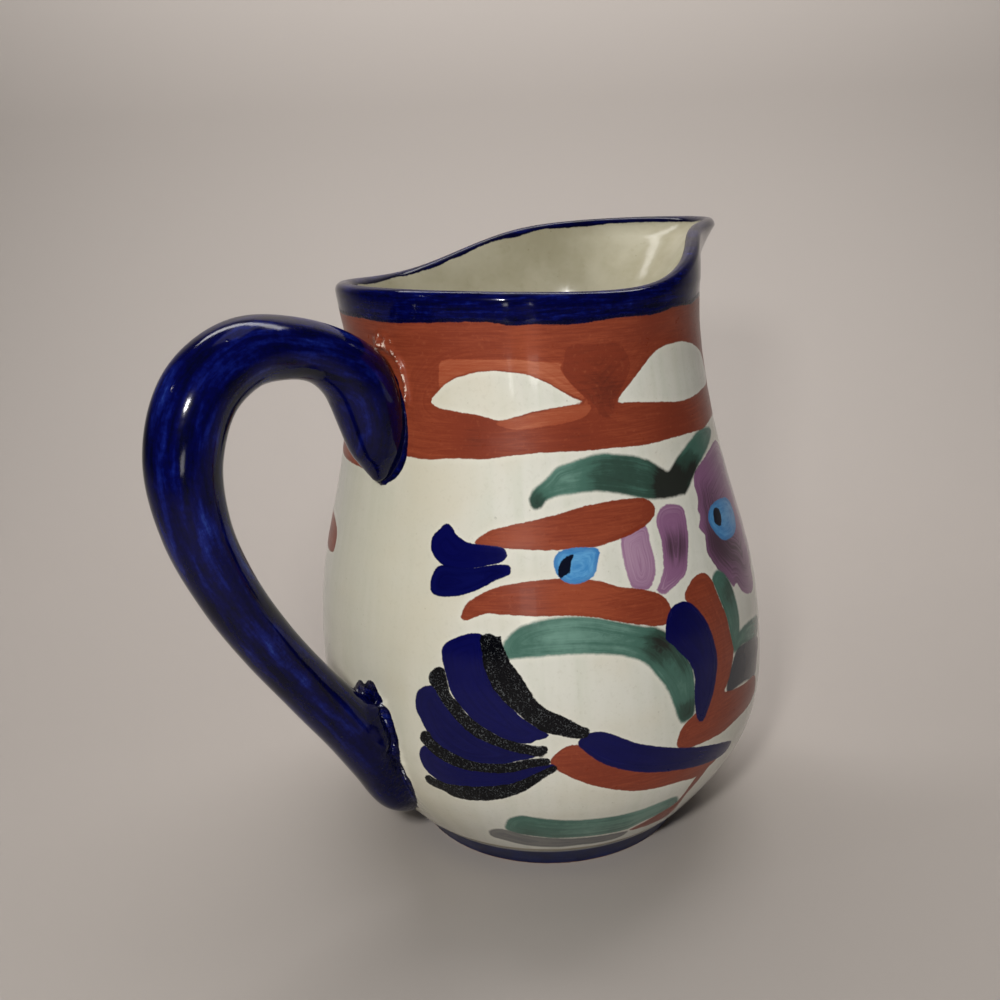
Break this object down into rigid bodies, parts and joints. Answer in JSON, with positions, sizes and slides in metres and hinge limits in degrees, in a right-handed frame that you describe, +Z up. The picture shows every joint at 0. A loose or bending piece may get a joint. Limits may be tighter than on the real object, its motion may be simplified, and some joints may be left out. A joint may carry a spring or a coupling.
{
  "type": "pitcher",
  "caption": "Hollow glazed earthenware pitcher: round belly on a flared foot, upright collar, pulled-out pouring spout, rolled loop handle opposite, freehand painted brush-stroke ornament.",
  "frame": {"origin": "centre of the flat underside of the foot", "axes": "+Z up, +X towards the spout, -X towards the handle, +Y to the side that makes the frame right-handed"},
  "size_m": [0.2102, 0.1436, 0.1922],
  "materials": {
    "painted_glaze": "glossy off-white tin glaze over earthenware, with a thick cobalt-blue handle, lip and foot and brush strokes in iron red, copper green, cobalt, purple and light blue"
  },
  "bodies": {
    "root": {"pitcher": "painted_glaze"}
  },
  "joints": []
}
